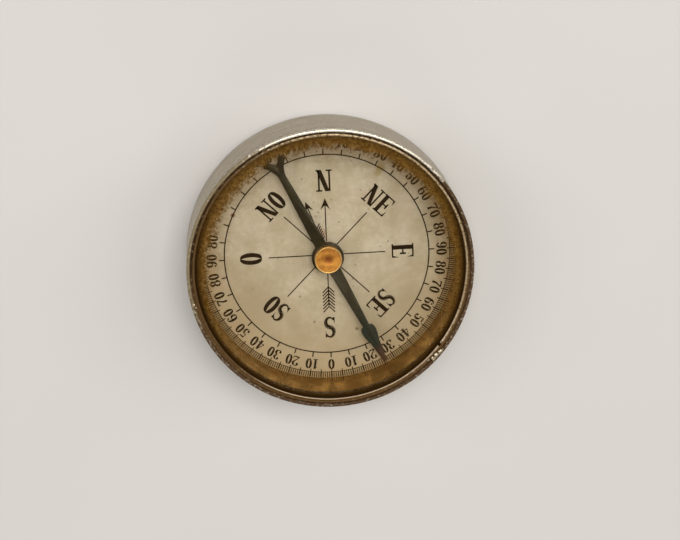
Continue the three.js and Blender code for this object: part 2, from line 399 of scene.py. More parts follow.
def worn_nickel():
    """Dull nickel over brass: grained side, rubbed and painted bright on the north lip, painted
    shade inside it, brown elsewhere.
    """
    finish = Finish("worn_nickel")
    place = finish.place()
    height = finish.split(place)[2]
    top = CASE_TOP / MM
    grain = finish.noise(finish.place((0.35, 0.35, 7)), scale=1.3, detail=5, roughness=0.65)
    cloud = finish.noise(finish.place((0.7, 0.7, 1.5)), scale=0.4, detail=5, roughness=0.7)
    speck = finish.noise(place, scale=2.4, detail=4, roughness=0.7)

    side = finish.blend(finish.between(grain, 0.3, 0.7), (0.29, 0.24, 0.165), (0.46, 0.395, 0.285))
    side = finish.blend(finish.between(cloud, 0.48, 0.72, 0, 0.5), side, (0.54, 0.465, 0.34))
    side = finish.blend(finish.between(cloud, 0.28, 0.48, 0.45, 0), side, (0.28, 0.21, 0.12))
    side = finish.blend(finish.between(speck, 0.62, 0.74), side, (0.12, 0.085, 0.05))
    under = finish.ragged(height, cloud, 0.6)
    south = finish.toward(place, heading=172, spread=115)
    south = finish.plus(south, finish.between(speck, 0.35, 0.65, -0.3, 0.3))
    under = finish.between(under, top - 2.4, top - 1.0)
    stain = finish.times(finish.between(south, 0.05, 0.4), under)
    side = finish.blend(stain, side, (0.075, 0.038, 0.014))

    rubbed = finish.ragged(height, speck, 0.16)
    lip = finish.between(rubbed, top - 0.45, top - 0.15)
    patches = finish.between(speck, 0.35, 0.65, -0.4, 0.25)
    dull = finish.plus(finish.toward(place, heading=-45, spread=80), patches)
    dull = finish.between(dull, 0.05, 0.4)
    # the lip's pale north is partly rubbed metal and partly a painted highlight
    bright = finish.plus(finish.toward(place, heading=10, spread=52), patches)
    bright = finish.between(bright, 0.05, 0.65)
    lip_colour = finish.blend(dull, (0.070, 0.034, 0.011), (0.22, 0.17, 0.095))
    lip_colour = finish.blend(bright, lip_colour, (0.78, 0.71, 0.58))
    colour = finish.blend(lip, side, lip_colour)
    # painted shade: the inside of the lip is painted dark to the north, in the gap above the ring
    bore = CASE_BORE / MM
    inward = finish.between(finish.radius(place), bore + 0.03, bore + 0.16, 1, 0)
    north = finish.between(finish.toward(place, heading=0, spread=120), 0, 0.4)
    inward = finish.times(inward, north)
    colour = finish.blend(inward, colour, (0.06, 0.03, 0.008))

    clean = finish.math("MAXIMUM", bright, finish.between(lip, 0, 1, 1, 0))
    clean = finish.math("SUBTRACT", clean, stain, clamp=True)
    rough = finish.between(clean, 0, 1, 0.62, 0.33)
    rough = finish.plus(rough, finish.between(speck, 0.3, 0.7, -0.05, 0.1))
    rubbed_smooth = finish.times(bright, lip)
    rough = finish.minus(rough, finish.between(rubbed_smooth, 0, 1, 0, 0.06))
    finish.set(
        Base_Color=colour,
        Metallic=finish.between(clean, 0, 1, 0.2, 0.95),
        Roughness=rough,
        Specular_IOR_Level=0.25,
        Normal=finish.bump(finish.blend(0.5, grain, speck), depth=0.035, strength=0.6),
    )
    return finish.material


def ring_brass():
    """The sprung ring's pale brass, blotched and brown to the south, with a painted highlight along
    its inner top edge there.
    """
    finish = Finish("ring_brass")
    place = finish.place()
    blotch = finish.noise(place, scale=2.6, detail=5, roughness=0.75)
    patches = finish.between(blotch, 0.3, 0.7, 0.35, -0.55)
    clean = finish.plus(finish.toward(place, heading=62, spread=125), patches)
    clean = finish.between(clean, 0, 0.8)
    colour = finish.blend(clean, (0.085, 0.042, 0.010), (0.46, 0.345, 0.205))
    colour = finish.blend(finish.between(blotch, 0.5, 0.62), colour, (0.13, 0.07, 0.022))
    # painted highlight: a pale line along the ring's inner top edge, on the south side
    inner, top = RING_INNER / MM, RING_HIGH.z / MM
    edge = finish.between(finish.radius(place), inner + 0.05, inner + 0.16, 1, 0)
    height = finish.split(place)[2]
    edge = finish.times(edge, finish.between(height, top - 0.14, top - 0.05))
    south = finish.between(finish.toward(place, heading=165, spread=60), 0, 0.4)
    edge = finish.times(edge, south)
    colour = finish.blend(edge, colour, (0.55, 0.43, 0.30))
    finish.set(
        Base_Color=colour,
        Metallic=finish.between(finish.math("MAXIMUM", clean, edge), 0, 1, 0.3, 0.8),
        Roughness=finish.between(blotch, 0.4, 0.65, 0.4, 0.62),
        Specular_IOR_Level=0.25,
        Normal=finish.bump(blotch, depth=0.03, strength=0.7),
    )
    return finish.material


def wall_brass():
    """The inner wall's golden brown brass, spotted, and darker towards the glass."""
    finish = Finish("wall_brass")
    place = finish.place()
    height = finish.split(place)[2]
    cloud = finish.noise(finish.place((1, 1, 0.8)), scale=0.35, detail=3, roughness=0.5)
    cloud = finish.between(cloud, 0.32, 0.68)
    spots = finish.noise(place, scale=2.2, detail=4, roughness=0.7)
    colour = finish.blend(cloud, (0.36, 0.185, 0.022), (0.62, 0.37, 0.07))
    colour = finish.blend(finish.between(spots, 0.66, 0.74), colour, (0.12, 0.045, 0.005))
    top = SPACER_HIGH.z / MM
    rising = finish.between(finish.ragged(height, spots, 0.25), top - 0.75, top - 0.05)
    colour = finish.blend(rising, colour, (0.04, 0.018, 0.003))
    finish.set(
        Base_Color=colour,
        Metallic=finish.between(rising, 0, 1, 0.9, 0.3),
        Roughness=finish.between(cloud, 0, 1, 0.36, 0.2),
        Normal=finish.bump(spots, depth=0.025, strength=0.5),
    )
    return finish.material


def plain_brass():
    """Bare brass, a little clouded, for what lies under the dial."""
    finish = Finish("plain_brass")
    cloud = finish.noise(finish.place(), scale=1.2, detail=4, roughness=0.6)
    finish.set(
        Base_Color=finish.blend(cloud, (0.42, 0.27, 0.10), (0.66, 0.47, 0.2)),
        Metallic=1.0,
        Roughness=finish.between(cloud, 0.3, 0.7, 0.28, 0.5),
    )
    return finish.material


def cap_brass():
    """Orange, dulled brass with fine turned rings, with painted shade in its dimpled middle and a
    painted highlight on its rim.
    """
    finish = Finish("cap_brass")
    place = finish.place()
    distance = finish.radius(place)
    cloud = finish.noise(place, scale=1.1, detail=4, roughness=0.6)
    colour = finish.blend(
        finish.between(cloud, 0.35, 0.65), (0.26, 0.085, 0.004), (0.42, 0.185, 0.022)
    )
    # painted shade: darker towards the dimpled middle
    centre = finish.between(distance, 0.1, 1.0, 1, 0)
    colour = finish.blend(centre, colour, (0.20, 0.045, 0.0))
    # painted highlight: a bright band round the rim
    outer = CAP_HIGH.x / MM
    rim = finish.between(distance, outer - 0.28, outer - 0.16)
    colour = finish.blend(rim, colour, (0.62, 0.37, 0.12))
    turning = finish.math("SINE", finish.times(distance, 38.0))
    wear = finish.blend(0.3, finish.noise(place, scale=5, detail=4, roughness=0.7), turning)
    dull = finish.between(cloud, 0.3, 0.7, 0.6, 0.5)
    finish.set(
        Base_Color=colour,
        Metallic=finish.between(rim, 0, 1, 0.6, 0.85),
        Roughness=finish.minus(dull, finish.times(rim, 0.2)),
        Normal=finish.bump(wear, depth=0.02, strength=0.5),
    )
    return finish.material


def pin_steel():
    """Bright steel, ground to a point."""
    finish = Finish("pin_steel")
    wear = finish.noise(finish.place((4, 4, 1)), scale=2, detail=3)
    finish.set(
        Base_Color=finish.blend(wear, (0.42, 0.42, 0.40), (0.66, 0.66, 0.63)),
        Metallic=1.0,
        Roughness=finish.between(wear, 0.3, 0.7, 0.18, 0.32),
    )
    return finish.material


def needle_steel():
    """Blued steel gone olive black, with a teal bloom at the spade and a rusty point."""
    finish = Finish("needle_steel")
    place = finish.place()
    cloud = finish.noise(place, scale=0.9, detail=5, roughness=0.65)
    fine = finish.noise(place, scale=6, detail=4, roughness=0.7)
    colour = finish.blend(cloud, (0.012, 0.008, 0.002), (0.038, 0.028, 0.009))
    distance = finish.radius(place)
    south = finish.between(finish.split(place)[1], -6, -12)
    teal = finish.times(south, finish.between(cloud, 0.3, 0.6, 0.45, 1))
    colour = finish.blend(teal, colour, (0.026, 0.028, 0.018))
    rust = finish.times(finish.between(distance, 14.6, 16.2), south)
    colour = finish.blend(rust, colour, (0.072, 0.038, 0.022))
    finish.set(
        Base_Color=colour,
        Metallic=0.3,
        Specular_IOR_Level=0.2,
        Roughness=finish.between(fine, 0.3, 0.7, 0.3, 0.44),
        Normal=finish.bump(fine, depth=0.012, strength=0.6),
    )
    return finish.material


def aged_paper():
    """Cream paper with faint pink and green clouds, fibres, specks and a few stains, and painted
    shade towards the south.
    """
    finish = Finish("aged_paper")
    place = finish.place()
    cloud = finish.between(finish.noise(place, scale=0.3, detail=5, roughness=0.62), 0.3, 0.7)
    colour = finish.blend(cloud, (0.47, 0.39, 0.265), (0.64, 0.555, 0.425))
    pink = finish.noise(finish.place((1, 1, 5)), scale=0.3, detail=4, roughness=0.65)
    pink = finish.between(pink, 0.5, 0.72)
    colour = finish.blend(finish.times(pink, 0.55), colour, (0.56, 0.42, 0.32))
    fibre = finish.noise(finish.place((1.2, 4, 1)), scale=3.2, detail=4, roughness=0.7)
    colour = finish.blend(finish.between(fibre, 0.3, 0.7, 0.0, 0.2), colour, (0.36, 0.29, 0.19))
    mottle = finish.noise(place, scale=1.3, detail=4, roughness=0.7)
    colour = finish.blend(
        finish.between(mottle, 0.35, 0.65, 0.0, 0.3), colour, (0.42, 0.34, 0.21)
    )
    specks = finish.cells(place, scale=0.75)
    few = finish.between(finish.split(specks["Color"])[0], 0.62, 0.66)
    dots = finish.times(finish.between(specks["Distance"], 0.06, 0.14, 1, 0), few)
    colour = finish.blend(finish.times(dots, 0.55), colour, (0.22, 0.14, 0.07))
    rim = finish.between(finish.radius(place), 14.5, 18.4, 0.0, 0.55)
    colour = finish.blend(rim, colour, (0.40, 0.28, 0.13))
    # painted shade: the paper is darker towards the south
    south = finish.between(finish.toward(place, heading=185, spread=110), 0, 0.7)
    south = finish.times(south, finish.between(finish.radius(place), 4, 15, 0.1, 0.7))
    colour = finish.blend(south, colour, (0.40, 0.315, 0.195))
    grime = finish.between(finish.radius(place), 17.2, 18.2, 0.0, 0.6)
    colour = finish.blend(grime, colour, (0.24, 0.15, 0.05))
    for east, north, size, strength, tint in STAINS:
        offset = finish.tree.nodes.new("ShaderNodeVectorMath")
        offset.operation = "DISTANCE"
        finish.put(offset.inputs[0], place)
        offset.inputs[1].default_value = (east, north, CARD_TOP / MM)
        distance = finish.ragged(offset.outputs["Value"], fibre, 0.2 * size)
        share = finish.between(distance, 0.35 * size, size, strength, 0)
        colour = finish.blend(share, colour, tint)
    finish.set(
        Base_Color=colour,
        Roughness=0.85,
        Specular_IOR_Level=0.25,
        Normal=finish.bump(fibre, depth=0.02, strength=0.4),
    )
    return finish.material


def dial_ink(name, faded=0.0):
    """Brown-black letterpress ink, thin in places, and washed out to the north-west if faded."""
    finish = Finish(name)
    place = finish.place()
    worn = finish.noise(place, scale=2.6, detail=5, roughness=0.75)
    colour = finish.blend(
        finish.between(worn, 0.5, 0.8), (0.022, 0.011, 0.003), (0.075, 0.045, 0.018)
    )
    wash = finish.ragged(finish.toward(place, heading=-52, spread=27), worn, 0.2)
    wash = finish.times(finish.between(wash, 0.05, 0.35), faded)
    colour = finish.blend(wash, colour, (0.46, 0.36, 0.22))
    finish.set(
        Base_Color=colour,
        Roughness=0.7,
        Specular_IOR_Level=0.05,
    )
    return finish.material


def old_solder():
    """Pale solder with a brown crust."""
    finish = Finish("old_solder")
    crust = finish.noise(finish.place(), scale=4, detail=4, roughness=0.7)
    finish.set(
        Base_Color=finish.blend(
            finish.between(crust, 0.4, 0.62), (0.20, 0.13, 0.06), (0.80, 0.70, 0.52)
        ),
        Metallic=0.7,
        Roughness=finish.between(crust, 0.35, 0.65, 0.6, 0.3),
        Normal=finish.bump(crust, depth=0.04, strength=0.6),
    )
    return finish.material


def grey_board():
    """Coarse grey-brown card."""
    finish = Finish("grey_board")
    fibre = finish.noise(finish.place(), scale=2.5, detail=5, roughness=0.7)
    finish.set(
        Base_Color=finish.blend(fibre, (0.22, 0.19, 0.14), (0.38, 0.34, 0.27)),
        Roughness=0.95,
        Normal=finish.bump(fibre, depth=0.05, strength=0.5),
    )
    return finish.material


def red_agate():
    """Banded red stone, polished."""
    finish = Finish("red_agate")
    bands = finish.noise(finish.place((1, 1, 3)), scale=3, detail=4)
    finish.set(
        Base_Color=finish.blend(bands, (0.16, 0.03, 0.02), (0.45, 0.16, 0.09)), Roughness=0.15
    )
    return finish.material


def clear_glass():
    """Flat glass, faintly wiped, that lets light through to the dial."""
    finish = Finish("clear_glass")
    wipe = finish.noise(finish.place((0.6, 1.4, 1)), scale=0.35, detail=4, roughness=0.6)
    finish.set(
        Base_Color=(0.985, 0.99, 0.975),
        Roughness=finish.between(wipe, 0.4, 0.75, 0.0, 0.03),
        Transmission_Weight=1.0,
        IOR=1.25,
        Specular_IOR_Level=0.5,
    )
    clear = finish.tree.nodes.new("ShaderNodeBsdfTransparent")
    clear.inputs[0].default_value = (0.97, 0.97, 0.95, 1)
    path = finish.tree.nodes.new("ShaderNodeLightPath")
    light = finish.math("MAXIMUM", path.outputs["Is Shadow Ray"], path.outputs["Is Diffuse Ray"])
    finish.put(
        finish.output.inputs["Surface"],
        finish.mix_shaders(light, finish.shader.outputs[0], clear.outputs[0]),
    )
    return finish.material


def edge_dirt():
    """Brown dirt crept in under the ring, thickest towards the north-west, with painted shadow of
    the rim in it and painted shade near black next to the ring.
    """
    finish = Finish("edge_dirt")
    place = finish.place()
    distance = finish.radius(place)
    ragged = finish.noise(place, scale=0.7, detail=5, roughness=0.65, distortion=0.4)
    fine = finish.noise(place, scale=2.6, detail=5, roughness=0.75)
    width = finish.between(finish.toward(place, heading=-58, spread=60), 0, 1, 1.3, 2.15)
    east = finish.between(finish.toward(place, heading=45, spread=80), 0, 1, 0, 0.7)
    south = finish.between(finish.toward(place, heading=180, spread=80), 0, 1, 0, 0.6)
    width = finish.minus(finish.plus(width, east), south)
    wiped = finish.between(finish.toward(place, heading=-27, spread=9), 0, 0.6, 0, 0.5)
    width = finish.minus(width, wiped)
    width = finish.times(width, finish.between(ragged, 0.28, 0.72, 0.75, 1.3))
    inward = finish.minus(RING_INNER / MM, distance)
    share = finish.math("DIVIDE", inward, width)
    share = finish.plus(share, finish.between(fine, 0.25, 0.75, -0.22, 0.22))
    thick = finish.between(share, 0.45, 1.2, 0.95, 0.0)
    thin = finish.between(share, 0.8, 2.1, 0.2, 0.0)
    cover = finish.math("MAXIMUM", thick, thin)
    colour = finish.blend(
        finish.between(fine, 0.35, 0.65), (0.070, 0.028, 0.002), (0.19, 0.100, 0.020)
    )
    # painted shade with dirt: near black next to the ring, less so to the north
    deep = finish.between(finish.toward(place, heading=0, spread=100), 0, 1, 1, 0.45)
    deep = finish.times(deep, finish.between(inward, 0.1, 1.3, 1, 0))
    colour = finish.blend(deep, colour, (0.022, 0.009, 0.001))
    finish.set(Base_Color=colour, Roughness=0.8, Specular_IOR_Level=0.03)
    clear = finish.tree.nodes.new("ShaderNodeBsdfTransparent")
    finish.put(
        finish.output.inputs["Surface"],
        finish.mix_shaders(cover, clear.outputs[0], finish.shader.outputs[0]),
    )
    return finish.material


def groove_dirt():
    """Dirt between lip and ring, brown crust to the south, with painted shade making it nearly
    black to the north.
    """
    finish = Finish("groove_dirt")
    place = finish.place()
    crust = finish.noise(place, scale=1.8, detail=5, roughness=0.7)
    # painted shade: the groove is painted nearly black to the north, brown to the south
    south = finish.toward(place, heading=175, spread=110)
    colour = finish.blend(finish.between(south, 0, 0.4), (0.03, 0.014, 0.004), (0.12, 0.062, 0.02))
    colour = finish.blend(finish.between(crust, 0.5, 0.7), colour, (0.22, 0.14, 0.065))
    finish.set(
        Base_Color=colour,
        Roughness=0.8,
        Specular_IOR_Level=0.1,
        Normal=finish.bump(crust, depth=0.05, strength=0.8),
    )
    return finish.material


def pale_floor():
    """A plain pale tabletop."""
    finish = Finish("pale_floor")
    cloud = finish.noise(finish.place(), scale=0.02, detail=3)
    finish.set(
        Base_Color=finish.blend(cloud, (0.62, 0.60, 0.58), (0.66, 0.64, 0.62)),
        Roughness=0.9,
        Specular_IOR_Level=0.1,
    )
    return finish.material


# -------- case, ring and glass


def make_case(finish):
    """The drum: a flat back, a rounded lower edge, a straight side and a rolled lip."""
    half_wall = CASE_WALL / 2
    lip_centre = (CASE_RADIUS - half_wall, CASE_TOP - half_wall)
    profile = [(0, 0), (CASE_RADIUS / 2, 0)]
    profile += arc(
        (CASE_RADIUS - BACK_EDGE_RADIUS, BACK_EDGE_RADIUS), BACK_EDGE_RADIUS, -90, 0, 8
    )
    profile += [(CASE_RADIUS, CASE_TOP * share) for share in (0.3, 0.5, 0.7)]
    profile += arc(lip_centre, half_wall, 0, 180, 12)
    corner = (CASE_BORE - CORNER_RADIUS, CASE_BACK + CORNER_RADIUS)
    profile += arc(corner, CORNER_RADIUS, 0, -90, 4)
    profile += [(0, CASE_BACK)]
    case = turned("case_drum", profile)
    ready(case, "case", "case_shell", finish=finish, slot="plated_case")


def make_retaining_ring(finish):
    """A round-topped bar bent into a ring, with a narrow gap where its ends meet."""
    middle_of_gap = math.radians(90 - RING_GAP_HEADING)
    gap = math.radians(RING_GAP_DEGREES)
    width = RING_OUTER - RING_INNER
    height = RING_HIGH.z - RING_LOW.z
    bpy.ops.object.select_all(action="DESELECT")
    bpy.ops.mesh.primitive_plane_add(size=1, rotation=(math.pi / 2, 0, 0))
    ring = start_piece("spring_ring")
    bpy.ops.transform.resize(value=(width, 1, height))
    bpy.ops.mesh.bevel(affect="VERTICES", offset=RING_EDGE, segments=4)
    bpy.ops.mesh.select_all(action="SELECT")
    middle = (RING_OUTER + RING_INNER) / 2
    bpy.ops.transform.translate(value=(middle, 0, (RING_HIGH.z + RING_LOW.z) / 2))
    turn = -(middle_of_gap + gap / 2)
    bpy.ops.transform.rotate(value=turn, orient_axis="Z", center_override=(0, 0, 0))
    round_trip = 2 * math.pi - gap
    bpy.ops.mesh.spin(steps=SIDES, angle=round_trip, center=(0, 0, 0), axis=(0, 0, 1))
    close_piece(ring)
    ready(ring, "case", "retaining_ring", finish=finish, slot="ring_metal")


def make_groove_dirt(finish):
    """Dirt packed between the ring and the lip, a little below the ring's top, with painted shade
    to the north.
    """
    overlap = 0.05 * MM
    sunk = 0.08 * MM
    edge = 0.04 * MM
    inner, bottom, top = RING_OUTER - overlap, RING_LOW.z + overlap, RING_HIGH.z - sunk
    profile = ring_profile(inner, CASE_BORE, bottom, top, edge)
    ready(turned("groove_dirt", profile), "case", finish=finish, slot="ring_metal")


def lump(heading, radius, length, width, height, seed):
    """A blob of metal on the lip, its long side along the rim, left open in edit mode."""
    turn = math.radians(heading)
    place = (math.sin(turn) * radius, math.cos(turn) * radius, CASE_TOP - SOLDER_SINK)
    bpy.ops.mesh.primitive_ico_sphere_add(subdivisions=3, radius=0.5, location=place)
    bpy.ops.transform.vertex_random(offset=0.07, seed=seed)
    bpy.ops.mesh.vertices_smooth(factor=0.5, repeat=1)
    bpy.ops.transform.resize(value=(length, width, height), center_override=place)
    bpy.ops.transform.rotate(value=turn, orient_axis="Z", center_override=place)


def make_lip_solder(finish):
    """Old drops of solder on the lip, beside the ring's gap and across from it."""
    bpy.ops.object.select_all(action="DESELECT")
    bpy.ops.mesh.primitive_ico_sphere_add(subdivisions=1, radius=0.05 * MM)
    solder = start_piece("lip_solder")
    bpy.ops.mesh.delete(type="VERT")  # an empty mesh, which the drops are added to
    for number, (heading, radius, length, width, height) in enumerate(SOLDER):
        bpy.ops.mesh.select_all(action="DESELECT")
        lump(heading, radius * MM, length * MM, width * MM, height * MM, number)
    close_piece(solder, smooth_degrees=60)
    ready(solder, "case", finish=finish, slot="plated_case")


def make_crystal(finish):
    """The flat glass, its edges ground round."""
    edge = CRYSTAL_EDGE
    rim = CRYSTAL_HIGH.x
    profile = [(0, CRYSTAL_LOW.z)]
    profile += arc((rim - edge, CRYSTAL_LOW.z + edge), edge, -90, 0, 4)
    profile += arc((rim - edge, CRYSTAL_HIGH.z - edge), edge, 0, 90, 4)
    profile += [(0, CRYSTAL_HIGH.z)]
    glass = turned("glass", profile)
    ready(glass, "case", "crystal", finish=finish, slot="crystal_glass")


def make_edge_dirt(finish):
    """A thin film of dirt and painted shade on the glass, inside the ring."""
    height = CRYSTAL_HIGH.z + 0.01 * MM
    film = turned("edge_dirt", [(RING_INNER - FILM_WIDTH, height), (RING_OUTER, height)])
    ready(film, "case", finish=finish, slot="crystal_glass")


def make_spacer(finish):
    """The inner wall that stands on the dial and carries the glass."""
    profile = ring_profile(WALL_RADIUS, SPACER_HIGH.x, SPACER_LOW.z, SPACER_HIGH.z, SPACER_EDGE)
    wall = turned("inner_wall", profile)
    ready(wall, "case", "spacer_ring", finish=finish, slot="wall_brass")


# -------- printing on the dial
# A glyph is drawn 1 high and w wide, from its lower left corner.


def broad_pen(direction):
    """Broad where the pen moves up or down, thin where it moves sideways."""
    return HAIR + (THICK - HAIR) * abs(direction.y) ** 2


def ribbon(path, width, closed=False):
    """Quads along a path of 2-D points; width is a number or depends on the direction."""
    points = [Vector(point) for point in path]
    count = len(points)
    quads = []
    sides = []
    for index, point in enumerate(points):
        before = points[index - 1] if index or closed else point
        after = points[(index + 1) % count] if index < count - 1 or closed else point
        direction = (after - before).normalized()
        across = Vector((-direction.y, direction.x))
        if callable(width):
            half = width(direction) / 2
        elif isinstance(width, (list, tuple)):
            half = (width[0] + (width[1] - width[0]) * index / (count - 1)) / 2
        else:
            half = width / 2
        sides.append((point + across * half, point - across * half))
    last = count if closed else count - 1
    for index in range(last):
        here, there = sides[index], sides[(index + 1) % count]
        quads.append([here[0], here[1], there[1], there[0]])
    return quads


def oval(centre, reach, start=0, stop=360, steps=40):
    """Points on an ellipse; reach is its two radii."""
    return [
        (centre[0] + reach[0] * x, centre[1] + reach[1] * y)
        for x, y in arc((0, 0), 1, start, stop, steps)
    ]


def closed_oval(centre, reach):
    """A whole oval, drawn with the broad pen."""
    return ribbon(oval(centre, reach)[:-1], broad_pen, closed=True)


def ball(centre, radius):
    """A round dot."""
    return [[Vector(point) for point in oval(centre, (radius, radius), steps=12)[:-1]]]


def wedge(tip, base, width):
    """A triangle from a base point of some width to a tip."""
    return ribbon([base, tip], (width, 0.001))


def glyph_N(w):
    left, right = 0.13, w - 0.13
    return (
        ribbon([(left, 0), (left, 1)], HAIR * 1.2)
        + ribbon([(right, 0), (right, 1)], HAIR * 1.2)
        + [[Vector(p) for p in ((0.02, 1), (0.02 + THICK * 1.15, 1), (right, 0), (right - 0.2, 0))]]
        + ribbon([(0, 0.03), (0.28, 0.03)], HAIR)
        + ribbon([(w - 0.28, 0.97), (w, 0.97)], HAIR)
        + ribbon([(0, 0.97), (0.2, 0.97)], HAIR)
    )


def glyph_E(w):
    stem = 0.07 + THICK / 2
    return (
        ribbon([(stem, 0), (stem, 1)], THICK)
        + ribbon([(0, 0.03), (w - 0.03, 0.03)], HAIR)
        + ribbon([(0, 0.97), (w - 0.05, 0.97)], HAIR)
        + ribbon([(stem, 0.51), (w - 0.2, 0.51)], HAIR)
        + wedge((w - 0.02, 0.34), (w - 0.05, 0.02), 0.1)
        + wedge((w - 0.03, 0.70), (w - 0.07, 0.98), 0.1)
        + ribbon([(w - 0.2, 0.37), (w - 0.2, 0.65)], HAIR * 1.2)
    )


def glyph_O(w):
    return closed_oval((w / 2, 0.5), ((w - THICK) / 2, 0.5 - HAIR / 2))


def glyph_S(w):
    upper = oval((w / 2, 0.735), (w / 2 - 0.1, 0.235), 25, 270, 24)
    lower = oval((w / 2, 0.265), (w / 2 - 0.09, 0.235), 90, -155, 24)
    path = upper + lower[1:]
    middle = (len(path) - 1) / 2
    quads = []
    for index in range(len(path) - 1):
        share = [1 - abs(index + step - middle) / middle for step in (0, 1)]
        widths = [HAIR + (THICK * 1.02 - HAIR) * s * s * (3 - 2 * s) for s in share]
        quads += ribbon(path[index : index + 2], widths)
    return (
        quads
        + wedge((w - 0.08, 0.64), (w - 0.11, 0.98), 0.09)
        + wedge((0.06, 0.36), (0.09, 0.02), 0.09)
    )


def glyph_0(w):
    return closed_oval((w / 2, 0.5), (w / 2 - THICK / 2 - 0.02, 0.47))


def glyph_1(w):
    return (
        ribbon([(w / 2, 0), (w / 2, 1)], THICK)
        + wedge((w / 2 - 0.24, 0.78), (w / 2, 0.93), 0.12)
        + ribbon([(w / 2 - 0.22, 0.03), (w / 2 + 0.22, 0.03)], HAIR)
    )


def glyph_2(w):
    top = oval((w / 2, 0.72), (w / 2 - 0.1, 0.25), 165, -35, 22)
    return (
        ribbon(top, broad_pen)
        + ribbon([top[-1], (0.1, 0.1)], (THICK * 0.6, HAIR))
        + ribbon([(0.06, 0.07), (w - 0.08, 0.07)], THICK * 0.62)
        + ribbon([(w - 0.06, 0.05), (w - 0.03, 0.28)], HAIR)
        + ball((0.14, 0.74), 0.1)
    )


def glyph_3(w):
    return (
        ribbon(oval((w / 2 - 0.02, 0.75), (w / 2 - 0.12, 0.22), 150, -90, 20), broad_pen)
        + ribbon(oval((w / 2 - 0.02, 0.265), (w / 2 - 0.09, 0.24), 90, -150, 20), broad_pen)
        + ball((0.14, 0.82), 0.09)
        + ball((0.13, 0.2), 0.1)
    )


def glyph_4(w):
    return (
        ribbon([(0.4, 0.0), (0.4, 1.0)], THICK)
        + ribbon([(0.38, 0.98), (0.05, 0.3)], HAIR)
        + ribbon([(0.02, 0.28), (w, 0.28)], HAIR * 1.2)
        + ribbon([(0.24, 0.03), (0.56, 0.03)], HAIR)
    )


def glyph_5(w):
    return (
        ribbon([(0.12, 0.91), (w - 0.06, 0.93)], THICK * 0.7)
        + ribbon([(0.14, 0.52), (0.14, 0.95)], HAIR)
        + ribbon(oval((w / 2 - 0.02, 0.31), (w / 2 - 0.1, 0.28), 130, -150, 24), broad_pen)
        + ball((0.13, 0.2), 0.1)
    )


def glyph_6(w):
    return (
        closed_oval((w / 2, 0.3), (w / 2 - 0.11, 0.27))
        + ribbon(oval((w / 2 + 0.05, 0.5), (w / 2 - 0.06, 0.47), 75, 200, 18), broad_pen)
        + ball((w - 0.16, 0.84), 0.09)
    )


def glyph_7(w):
    return (
        ribbon([(0.05, 0.92), (w - 0.04, 0.92)], THICK * 0.72)
        + ribbon([(w - 0.07, 0.92), (0.26, 0.45), (0.22, 0.02)], (HAIR * 1.4, THICK * 1.1))
        + ribbon([(0.05, 0.98), (0.05, 0.72)], HAIR)
    )


def glyph_8(w):
    return closed_oval((w / 2, 0.745), (w / 2 - 0.14, 0.22)) + closed_oval(
        (w / 2, 0.27), (w / 2 - 0.1, 0.245)
    )


def glyph_9(w):
    """A 6 turned upside down."""
    return [[Vector((w, 1)) - point for point in face] for face in glyph_6(w)]


GLYPHS = {
    # how each mark is drawn, and its width
    "N": (glyph_N, 0.74),
    "E": (glyph_E, 0.66),
    "O": (glyph_O, 0.56),
    "S": (glyph_S, 0.56),
    "0": (glyph_0, 0.6),
    "1": (glyph_1, 0.5),
    "2": (glyph_2, 0.62),
    "3": (glyph_3, 0.6),
    "4": (glyph_4, 0.64),
    "5": (glyph_5, 0.58),
    "6": (glyph_6, 0.6),
    "7": (glyph_7, 0.58),
    "8": (glyph_8, 0.6),
    "9": (glyph_9, 0.6),
}


def label(text, heading, baseline, height, spacing, stretch=1.0):
    """Faces of a word on the dial: upright at its heading, its tops away from the centre."""
    advance = sum(GLYPHS[mark][1] for mark in text) + spacing * (len(text) - 1)
    turn = Matrix.Rotation(-math.radians(heading), 2)
    faces = []
    left = -advance / 2
    for mark in text:
        shape, width = GLYPHS[mark]
        for face in shape(width):
            corners = [((p.x + left) * height * stretch, baseline + p.y * height) for p in face]
            faces.append([turn @ Vector(corner) for corner in corners])
        left += width + spacing
    return faces


def radial(heading, start, stop, width):
    """A line from one radius to another at a heading."""
    turn = Matrix.Rotation(-math.radians(heading), 2)
    half = width / 2
    corners = ((-half, start), (half, start), (half, stop), (-half, stop))
    return [turn @ Vector(corner) for corner in corners]


def print_on_card(name, faces, finish):
    """Makes one printed piece from flat faces, a breath above the paper."""
    vertices = []
    polygons = []
    for face in faces:
        first = len(vertices)
        vertices += [(point.x, point.y, INK_HEIGHT) for point in face]
        area = sum(a.cross(b) for a, b in zip(face, face[1:] + face[:1]))
        order = range(first, first + len(face))
        polygons.append(list(order) if area > 0 else list(reversed(order)))
    mesh = bpy.data.meshes.new(name)
    mesh.from_pydata(vertices, [], polygons)
    piece = bpy.data.objects.new(name, mesh)
    bpy.context.scene.collection.objects.link(piece)
    ready(piece, "case", finish=finish, slot="dial_paper")


def print_letters(finish):
    """The eight cardinal letters, with the pairs a little smaller."""
    faces = []
    for text, heading in HEADINGS.items():
        height = LETTER_HEIGHT * (1.0 if len(text) == 1 else 0.93)
        faces += label(text, heading, LETTER_BASE, height, spacing=0.03)
    print_on_card("dial_letters", faces, finish)


def print_numerals(finish):
    """Every tenth degree, counted from north and from south up to 90."""
    faces = []
    for heading in range(0, 360, 10):
        from_north = min(heading, 360 - heading)
        value = from_north if from_north <= 90 else 180 - from_north
        faces += label(
            str(value), heading, NUMERAL_BASE, NUMERAL_HEIGHT, spacing=0.03, stretch=1.08
        )
    print_on_card("dial_numerals", faces, finish)


def circle(radius, width):
    """A printed circle round the dial's centre."""
    return ribbon(oval((0, 0), (radius, radius), steps=SIDES)[:-1], width, closed=True)


